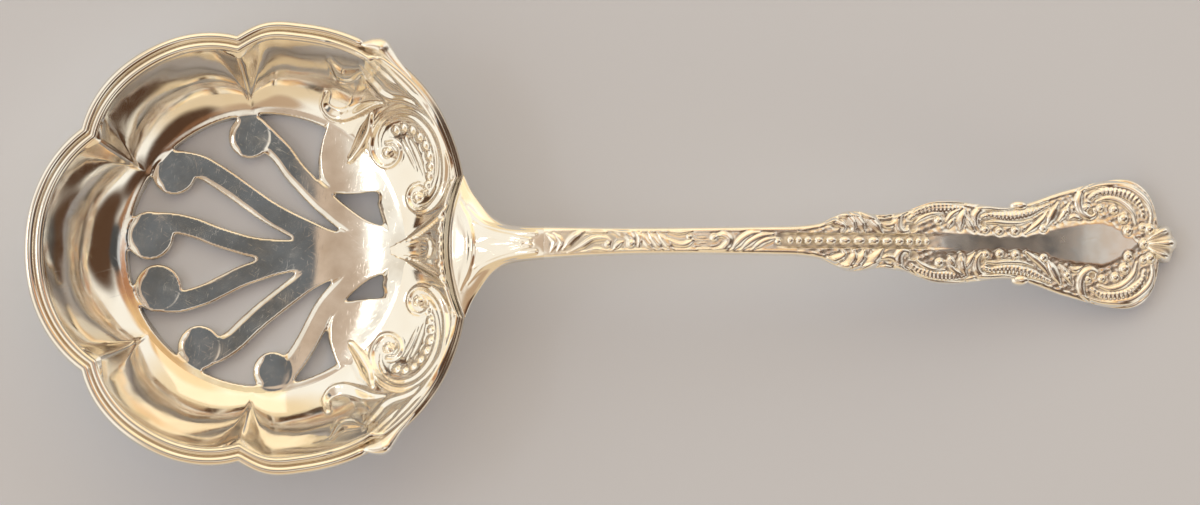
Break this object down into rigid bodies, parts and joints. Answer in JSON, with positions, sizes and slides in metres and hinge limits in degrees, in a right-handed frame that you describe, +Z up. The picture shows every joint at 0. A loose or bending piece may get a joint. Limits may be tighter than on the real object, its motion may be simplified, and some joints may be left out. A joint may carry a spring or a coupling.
{
  "type": "pierced bonbon spoon",
  "caption": "Small silver bonbon spoon with a fluted, pierced bowl, a reeded border, scroll relief on its heel and a violin-shaped scroll handle with a shell tip.",
  "frame": {"origin": "bottom centre of the spoon's bounding box, on the plane it lies on", "axes": "+X along the handle to its shell tip, +Y to the left, +Z up out of the bowl"},
  "size_m": [0.118, 0.046, 0.0144],
  "materials": {
    "polished_silver": "polished",
    "pierced_silver": "polished",
    "relief_silver": "polished"
  },
  "bodies": {
    "root": {"bowl": "polished_silver", "pierced_spray": "pierced_silver", "rim_bead": "polished_silver", "leaf_tip_left": "relief_silver", "leaf_tip_right": "relief_silver", "neck": "polished_silver", "stem": "relief_silver", "pearl_row": "relief_silver", "terminal": "relief_silver", "shell_finial": "relief_silver"}
  },
  "joints": []
}
